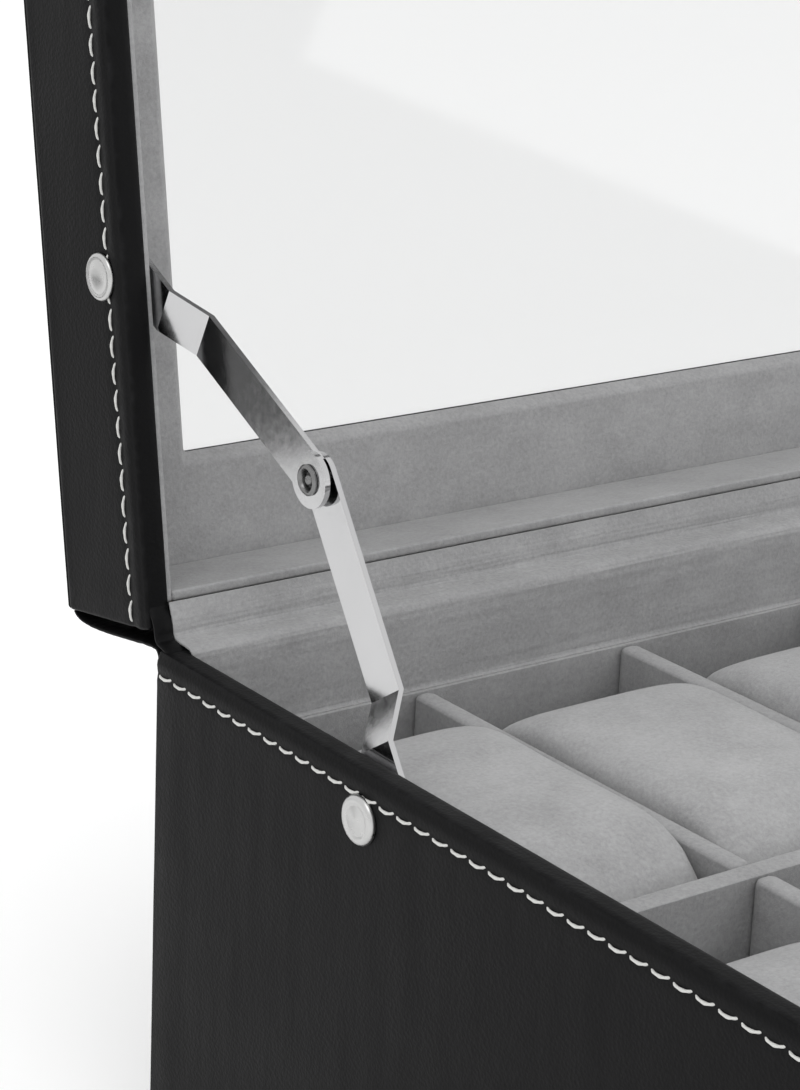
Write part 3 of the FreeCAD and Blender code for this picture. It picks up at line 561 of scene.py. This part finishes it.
def flat_rows(stitching, reach_x, reach_y, height, inwards):
    """Four rows on a level face, with each dash bowed towards the middle or away from it."""
    corners = [Vector((-1, 1, 0)), Vector((1, 1, 0)), Vector((1, -1, 0)), Vector((-1, -1, 0))]
    for i, corner in enumerate(corners):
        other = corners[(i + 1) % 4]
        start = Vector((corner.x * reach_x, corner.y * reach_y, height))
        end = Vector((other.x * reach_x, other.y * reach_y, height))
        middle = -(corner + other) / 2
        stitching.row(start, end, (0, 0, 1), middle * inwards)


def make_stitching():
    inset = 3.2 * MM
    base_rows = Stitching()
    rows_round(base_rows, half_x - inset, half_y - 0.8 * MM, rim - RIM_STITCH, (0, 0, -1), 0.14 * MM)
    base_rows.piece("base_rim_stitching", "base")

    lid_rows = Stitching()
    rows_round(lid_rows, half_x - inset, half_y - 0.8 * MM, lid_rim + LID_STITCH, (0, 0, 1), 0.18 * MM)
    top = lid_top - 0.14 * MM
    flat_rows(lid_rows, half_x - 4.4 * MM, half_y - 4.4 * MM, top, 1)
    flat_rows(lid_rows, half_x - WINDOW_SIDE + 4 * MM, half_y - WINDOW_END + 4 * MM, top, -1)
    lid_rows.piece("lid_stitching", "lid", OPEN)


# ---- pillows ----

SOLID_CORNER, COVER_CORNER = 12 * MM, 20 * MM  # the rounding of the ends, in the CAD and on the cover
SIDE_SLOPE = 0.9 * MM
MOST_SWELL = 1.3 * MM
CLOTH_STEPS = 20
WIDE_PILLOW = 40 * MM
SUNK = {1: 5.2, 7: 1.9, 8: 3.2}  # how far, in millimetres, the top of a well-used pillow has gone down
REAR_SHIFT, FRONT_SHIFT = -2.4 * MM, -4.8 * MM  # both rows have slid towards the front


def pillow_mesh(node, seed):
    """A stuffed cover over the node's shape: slightly slack, crowned, and soft at every edge."""
    low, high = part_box(node)
    middle = (low + high) / 2
    pad = bpy.data.objects.new("pad", nodes[node].data.copy())
    bpy.context.scene.collection.objects.link(pad)
    shrink = Matrix.Diagonal((0.99, 0.99, 0.99, 1))
    pad.data.transform(Matrix.Translation(middle) @ shrink @ Matrix.Translation(-middle))
    remesh = pad.modifiers.new("voxels", "REMESH")
    remesh.mode = "VOXEL"
    remesh.voxel_size = 3 * MM
    apply_modifiers(pad)
    draw_in(pad, middle, (high - low) / 2)
    inflate(pad)
    finer = pad.modifiers.new("finer", "SUBSURF")
    finer.levels = finer.render_levels = 1
    apply_modifiers(pad)
    room = Vector((0.4, 0.5, 0.7)) * MM
    for vertex in pad.data.vertices:
        place = vertex.co
        swell = noise.noise(place * 38 + Vector((seed, 0, seed)))
        place.z += swell * 0.6 * MM
        for axis in range(3):
            place[axis] = min(max(place[axis], low[axis] - room[axis]), high[axis] + room[axis])
    return pad


def draw_in(pad, middle, reach):
    """Rounds the ends further and slopes the top to both sides, as the stuffing thins out there."""
    def height(gap, radius):
        gap = min(max(gap, 0.0), radius)
        return reach.z - radius + math.sqrt(radius ** 2 - (radius - gap) ** 2)

    for vertex in pad.data.vertices:
        off = vertex.co - middle
        gap = reach.y - abs(off.y)
        off.z *= height(gap, COVER_CORNER) / height(gap, SOLID_CORNER)
        off.z -= SIDE_SLOPE * abs(off.x / reach.x) ** 3 * max(0.0, off.z / reach.z)
        vertex.co = middle + off


def inflate(pad):
    """Blows the cover up a little by cloth simulation and keeps how far it moved within a limit."""
    before = [vertex.co.copy() for vertex in pad.data.vertices]
    cloth = pad.modifiers.new("cloth", "CLOTH")
    settings = cloth.settings
    settings.use_pressure = True
    settings.uniform_pressure_force = 4
    settings.effector_weights.gravity = 0
    settings.quality = 5
    settings.mass = 0.15
    cloth.point_cache.frame_start, cloth.point_cache.frame_end = 1, CLOTH_STEPS
    scene = bpy.context.scene
    for step in range(1, CLOTH_STEPS + 1):
        scene.frame_set(step)
    apply_modifiers(pad)
    scene.frame_set(1)
    for vertex, start in zip(pad.data.vertices, before):
        move = vertex.co - start
        if move.length > MOST_SWELL:
            vertex.co = start + move * (MOST_SWELL / move.length)


def make_pillows():
    """Twelve pillows from four stuffed covers, each turned end for end or mirrored for variety."""
    models = {}
    for number in range(1, 13):
        node = f"pillow_{number:02d}"
        low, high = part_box(node)
        middle = (low + high) / 2
        model = (number % 2, high.x - low.x > WIDE_PILLOW)
        if model not in models:
            models[model] = (pillow_mesh(node, 3.1 * len(models)), middle)
        source, origin = models[model]
        mesh = source.data.copy()
        flip = Matrix.Diagonal((-1 if number % 2 else 1, -1 if number > 6 else 1, 1, 1))
        shift = Vector((0, REAR_SHIFT if number > 6 else FRONT_SHIFT, 0))
        mesh.transform(Matrix.Translation(middle + shift) @ flip @ Matrix.Translation(-origin))
        if flip.determinant() < 0:
            mesh.flip_normals()
        sunk = SUNK.get(number, chance.uniform(1.2, 2.6)) * MM
        for vertex in mesh.vertices:
            vertex.co.z -= sunk * max(0.0, (vertex.co.z - low.z) / (high.z - low.z))
        mesh.materials.clear()
        mesh.materials.append(PILLOW)
        mesh.shade_smooth()
        pillow = bpy.data.objects.new(f"watch_{node}", mesh)
        bpy.context.scene.collection.objects.link(pillow)
        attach(pillow, node)
        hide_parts(node)
    for source, _ in models.values():
        bpy.data.objects.remove(source)


# ---- the soft hinge ----

def smooth_path(points, parts=10):
    """Points along a NURBS curve through a short list of (y, z) control points."""
    curve = bpy.data.curves.new("path", "CURVE")
    curve.dimensions = "3D"
    curve.resolution_u = parts
    spline = curve.splines.new("NURBS")
    spline.points.add(len(points) - 1)
    for point, (y, z) in zip(spline.points, points):
        point.co = (0, y, z, 1)
    spline.order_u = 3
    spline.use_endpoint_u = True
    holder = bpy.data.objects.new("path", curve)
    bpy.context.scene.collection.objects.link(holder)
    mesh = bpy.data.meshes.new_from_object(holder)
    path = [vertex.co.copy() for vertex in mesh.vertices]
    bpy.data.objects.remove(holder)
    return path


def folded_band(name, path, low_x, high_x, thickness, material, crease=0.0):
    """A strip along a path, rounded at its edges, with slight ripples across it."""
    steps = even_steps(low_x, high_x, 4 * MM)
    steps[1:1] = [low_x + 0.5 * thickness]
    steps[-1:-1] = [high_x - 0.5 * thickness]
    count = len(steps)
    places, faces = [], []
    for side in (1, -1):
        for i, point in enumerate(path):
            before, after = path[max(i - 1, 0)], path[min(i + 1, len(path) - 1)]
            along = (after - before).normalized()
            normal = Vector((0, -along.z, along.y))
            inner = math.sin(math.pi * i / (len(path) - 1))
            for k, x in enumerate(steps):
                edge = 0.35 if k in (0, count - 1) else 1.0
                ripple = crease * inner * noise.noise(Vector((x * 60, i * 0.35, 0)))
                place = point + normal * (side * thickness / 2 * edge + ripple)
                places.append(Vector((x, place.y, place.z)))
    rows = len(path)
    sheet_size = rows * count
    for i in range(rows - 1):
        for k in range(count - 1):
            a = i * count + k
            faces.append((a, a + 1, a + count + 1, a + count))
            b = a + sheet_size
            faces.append((b, b + count, b + count + 1, b + 1))
    for i in range(rows - 1):
        for k in (0, count - 1):
            a, b = i * count + k, (i + 1) * count + k
            faces.append((a, b, b + sheet_size, a + sheet_size))
    for k in range(count - 1):
        for i in (0, rows - 1):
            a = i * count + k
            faces.append((a, a + 1, a + 1 + sheet_size, a + sheet_size))
    return new_piece(name, places, faces, material, 50)


def make_soft_hinge():
    """The slack leather spine outside, the velvet strip inside, and a leather fold at each end of it."""
    lid_edge = OPEN @ Vector((0, half_y, lid_top))
    lid_lip = OPEN @ Vector((0, half_y - RIM_WIDTH, lid_rim))
    tray_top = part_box("tray_frame")[1].z
    at = lambda y, z, place=(half_y, rim): (place[0] + y * MM, place[1] + z * MM)
    lip = (lid_lip.y, lid_lip.z)
    spine_path = smooth_path([
        at(0.45, -12), at(0.45, -5), at(0.7, -0.9), at(3, -0.35), at(16, -2.6), at(24, -3.6),
        at(28.6, -3.3), (lid_edge.y - 0.6 * MM, lid_edge.z - 0.2 * MM)], 14)
    spine_reach = half_x - 1.2 * MM
    spine = folded_band("hinge_spine_cover", spine_path, -spine_reach, spine_reach, 0.9 * MM, LEATHER,
                        0.12 * MM)
    cloth_path = smooth_path([
        (lining_back - 1.6 * MM, tray_top - 0.25 * MM), (lining_back - 0.6 * MM, tray_top - 0.2 * MM),
        (lining_back - 0.5 * MM, tray_top + 2 * MM), (lining_back - 0.5 * MM, rim - 1.5 * MM),
        (lining_back + 0.2 * MM, rim + 0.5 * MM), at(-1, 0.55), at(1.3, 0.9), at(1.6, 3.5),
        at(-0.9, -0.8, lip), at(-0.5, 0.5, lip)], 14)
    reach = half_x - RIM_WIDTH - 0.2 * MM
    cloth = folded_band("hinge_velvet_cover", cloth_path, -reach, reach, 0.8 * MM, VELVET, 0.15 * MM)
    fold_path = smooth_path([at(-2.5, -0.4), at(-1, 0.3), at(1.3, 0.6), at(1.8, 3.5), at(-0.5, -1.2, lip),
                             at(0.9, 0.2, lip)], 14)
    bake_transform(spine)
    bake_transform(cloth)
    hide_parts("hinge_spine_leather")
    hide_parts("hinge_velvet_strip")
    for label, side in (("left", -1), ("right", 1)):
        low, high = sorted((side * (half_x - 0.8 * MM), side * (reach + 0.05 * MM)))
        end_fold = folded_band(f"{label}_hinge_end_fold", fold_path, low, high, 0.9 * MM, LEATHER)
        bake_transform(end_fold)


# ---- rivets ----

def turned(name, outline, placements, material, sides=56):
    """Closed solids turned about X from (along, radius) points, one for each placement."""
    places, faces = [], []
    for placement in placements:
        first = len(places)
        for along, radius in outline:
            for i in range(sides):
                angle = 2 * math.pi * i / sides
                spot = Vector((along, radius * math.cos(angle), radius * math.sin(angle)))
                places.append(placement @ spot)
        for ring in range(len(outline) - 1):
            for i in range(sides):
                a, b = first + ring * sides, first + (ring + 1) * sides
                n = (i + 1) % sides
                faces.append((a + i, a + n, b + n, b + i))
        last = first + (len(outline) - 1) * sides
        faces += [tuple(first + i for i in reversed(range(sides))), tuple(last + i for i in range(sides))]
    return new_piece(name, places, faces, material, 40)


def make_wall_rivets():
    """Flat ringed heads on the base, and domed ones on the lid."""
    wall = RIM_WIDTH + 1.9 * MM
    flat_head = [
        (1.02, 0.25), (1.06, 0.4), (1.0, 0.55), (1.0, 2.2), (0.9, 2.4), (0.9, 2.6), (1.02, 2.8),
        (1.06, 3.4), (0.95, 3.75), (0.7, 4.02), (0.35, 4.15), (0.0, 4.12), (-0.15, 1.9)]
    domed_head = [
        (1.12, 0.1), (1.1, 0.7), (1.04, 1.5), (0.93, 2.3), (0.8, 2.8), (0.72, 2.95), (0.74, 3.15),
        (0.82, 3.45), (0.72, 3.85), (0.45, 4.08), (0.15, 4.15), (0.0, 4.1), (-0.15, 1.9)]
    for body, node, head, move, inner in (
            ("base", "base_stay_rivets", flat_head, Matrix(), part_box("base_stay_rivets")),
            ("lid", "lid_stay_rivets", domed_head, OPEN, shut_box("lid_stay_rivets"))):
        low, high = inner
        y, z = (low.y + high.y) / 2, (low.z + high.z) / 2
        placements = [move @ Matrix.Translation((side * half_x, y, z))
                      @ Matrix.Rotation(0 if side > 0 else math.pi, 4, "Z") for side in (-1, 1)]
        outline = [(a * MM, r * MM) for a, r in head]
        if body == "base":
            outline += [(-wall - 1.35 * MM, 1.85 * MM), (-wall - 1.36 * MM, 2.9 * MM),
                        (-wall - 1.7 * MM, 2.95 * MM), (-wall - 1.95 * MM, 2.4 * MM),
                        (-wall - 1.95 * MM, 0.3 * MM)]
        else:
            outline.append((-wall, 1.85 * MM))
        pair = turned(f"{body}_wall_rivets", outline, placements, NICKEL)
        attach(pair, body)
        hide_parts(node)


def make_knee_rivets():
    """A rolled eyelet on the wall side of each knee, with a round pin end down inside it."""
    for label, side in (("left", -1), ("right", 1)):
        low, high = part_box(f"{label}_stay_knee_rivet")
        wall, inner = (low.x, high.x) if side < 0 else (high.x, low.x)
        depth = abs(inner - wall) / MM
        outline = [
            (-0.32, 0.05), (-0.3, 0.3), (-0.38, 0.6), (-0.6, 0.85), (-0.95, 1.0), (-1.3, 1.12),
            (-1.3, 1.45), (-0.7, 1.6), (-0.15, 1.8), (0.0, 2.05), (-0.12, 2.35), (-0.35, 2.6),
            (-0.62, 2.6), (-0.66, 1.85),
            (0.66 - depth, 1.85), (0.64 - depth, 2.95), (0.3 - depth, 2.95), (0.05 - depth, 2.5),
            (-depth, 1.4), (-depth, 0.2)]
        place = Matrix.Translation((wall, (low.y + high.y) / 2, (low.z + high.z) / 2))
        place = place @ Matrix.Rotation(0 if side > 0 else math.pi, 4, "Z")
        # The eyelet takes the darkened nickel, which paints the shade of its hollow onto the metal.
        rivet = turned(f"{label}_knee_eyelet", [(a * MM, r * MM) for a, r in outline], [place], PAINTED_SHADE_NICKEL)
        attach(rivet, f"{label}_lower_link")
        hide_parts(f"{label}_stay_knee_rivet")


# ---- the drawer's front ----

def make_drawer_front():
    """A padded leather panel, stitched round its border, with its edges rolled to the back."""
    low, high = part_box("drawer_front")
    depth = high.y - low.y
    middle_z = (low.z + high.z) / 2
    reach_x, reach_z = high.x, (high.z - low.z) / 2
    profile = [(0.5, depth / MM), (0.05, depth / MM - 0.4), (0.0, 1.6), (0.15, 0.8), (0.5, 0.32),
               (1.1, 0.12), (2.6, 0.1), (3.3, 0.22), (3.9, 0.3), (4.5, 0.2), (5.6, 0.06), (8.0, 0.0), (12.0, 0.0)]
    places, faces = [], []
    for inset, back in profile:
        ring = frame_ring(reach_x - inset * MM, reach_z - inset * MM, max(1.6 - inset, 0.4) * MM, 0)
        places += [Vector((p.x, low.y + back * MM, middle_z + p.y)) for p in ring]
    count = len(places) // len(profile)
    for i in range(len(profile) - 1):
        for k in range(count):
            n = (k + 1) % count
            faces.append((i * count + k, i * count + n, (i + 1) * count + n, (i + 1) * count + k))
    last = (len(profile) - 1) * count
    faces += [tuple(reversed(range(count))), tuple(last + k for k in range(count))]
    panel = new_piece("drawer_front_panel", places, faces, LEATHER, 50)
    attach(panel, "drawer")
    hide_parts("drawer_front")

    rows = Stitching()
    x, z, face = reach_x - 3.9 * MM, reach_z - 3.9 * MM, low.y + 0.28 * MM
    for start, end, away in (
            ((-x, z), (x, z), (0, 0, -1)), ((x, z), (x, -z), (-1, 0, 0)),
            ((x, -z), (-x, -z), (0, 0, 1)), ((-x, -z), (-x, z), (1, 0, 0))):
        rows.row((start[0], face, middle_z + start[1]), (end[0], face, middle_z + end[1]), (0, -1, 0), away)
    rows.piece("drawer_front_stitching", "drawer")


# ---- camera, lights and floor ----

CAMERA_PLACE = (-0.399934, -0.304849, 0.283333)
HIGHLIGHT_TILT = -30  # degrees
FLOOR_REACH = 12.0
DARK_CARD = (-0.62, 0.455), (-0.34, 0.82)  # two opposite corners on the floor


def make_camera():
    """Looks down over the rear left corner, slightly rolled."""
    azimuth, elevation, roll = math.radians(37), math.radians(18.64), math.radians(2.57)
    forward = Vector((math.sin(azimuth) * math.cos(elevation), math.cos(azimuth) * math.cos(elevation),
                      -math.sin(elevation)))
    level = Vector((math.cos(azimuth), -math.sin(azimuth), 0))
    above = level.cross(forward)
    right = level * math.cos(roll) + above * math.sin(roll)
    up = above * math.cos(roll) - level * math.sin(roll)
    camera = bpy.data.cameras.new("camera")
    camera.lens = 97.04
    camera.sensor_width = camera.sensor_height = 36
    camera.sensor_fit = "VERTICAL"
    camera.clip_start = 0.01
    holder = bpy.data.objects.new("camera", camera)
    bpy.context.scene.collection.objects.link(holder)
    axes = Matrix((right, up, -forward)).transposed().to_4x4()
    holder.matrix_world = Matrix.Translation(CAMERA_PLACE) @ axes
    bpy.context.scene.camera = holder


def area_light(name, place, aim, size, power):
    lamp = bpy.data.lights.new(name, "AREA")
    lamp.shape = "RECTANGLE"
    lamp.size, lamp.size_y = size
    lamp.energy = power
    holder = bpy.data.objects.new(name, lamp)
    bpy.context.scene.collection.objects.link(holder)
    holder.location = place
    holder.rotation_euler = (Vector(aim) - Vector(place)).to_track_quat("-Z", "Y").to_euler()
    return holder


def level_sheet(name, low, high, material):
    """A flat rectangle between two opposite (x, y) corners."""
    corners = [(low[0], low[1], 0), (high[0], low[1], 0), (high[0], high[1], 0), (low[0], high[1], 0)]
    return new_piece(name, corners, [(0, 1, 2, 3)], material)


def make_studio():
    """Even light, a pane of light for the glass, and a dark card that only gloss can show."""
    scene = bpy.context.scene
    scene.view_settings.view_transform = "Standard"
    scene.view_settings.look = "None"
    world = bpy.data.worlds.new("studio")
    scene.world = world
    world.use_nodes = True
    sky = world.node_tree.nodes["Background"]
    sky.inputs["Color"].default_value = (1, 1, 1, 1)
    sky.inputs["Strength"].default_value = 1.04
    area_light("key", (-0.7, -0.6, 1.9), (0, 0, 0.1), (1.2, 1.2), 7)
    pane = area_light("glass_highlight", (2.13, -2.02, 0.494), (0, 0.13, 0.17), (1.1, 0.62), 2.8)
    pane.rotation_euler.rotate_axis("Z", math.radians(HIGHLIGHT_TILT))

    floor_material = Finish("floor", (0.965, 0.965, 0.965), 0.6, Specular_IOR_Level=0.1,
                            Emission_Strength=0.1)
    floor_material.shader.inputs["Emission Color"].default_value = (1, 1, 1, 1)
    floor_material.tint(floor_material.noise(3, detail=2), 0.99, 1.0)
    floor = level_sheet("floor", (-FLOOR_REACH, -FLOOR_REACH), (FLOOR_REACH, FLOOR_REACH),
                        floor_material.material)
    floor.location.z = -0.05 * MM

    card = Finish("dark_card", (0.13, 0.13, 0.13), 0.9, Specular_IOR_Level=0.0)
    card.tint(card.noise(8, detail=2), 0.9, 1.1)
    flag = level_sheet("dark_card", *DARK_CARD, card.material)
    flag.location.z = 1 * MM
    flag.visible_camera = flag.visible_diffuse = flag.visible_shadow = flag.visible_transmission = False


make_camera()
make_studio()
finish_cad_nodes()
make_base_leather()
make_lid_leather()
make_stitching()
make_soft_hinge()
make_wall_rivets()
make_knee_rivets()
make_drawer_front()
make_pillows()
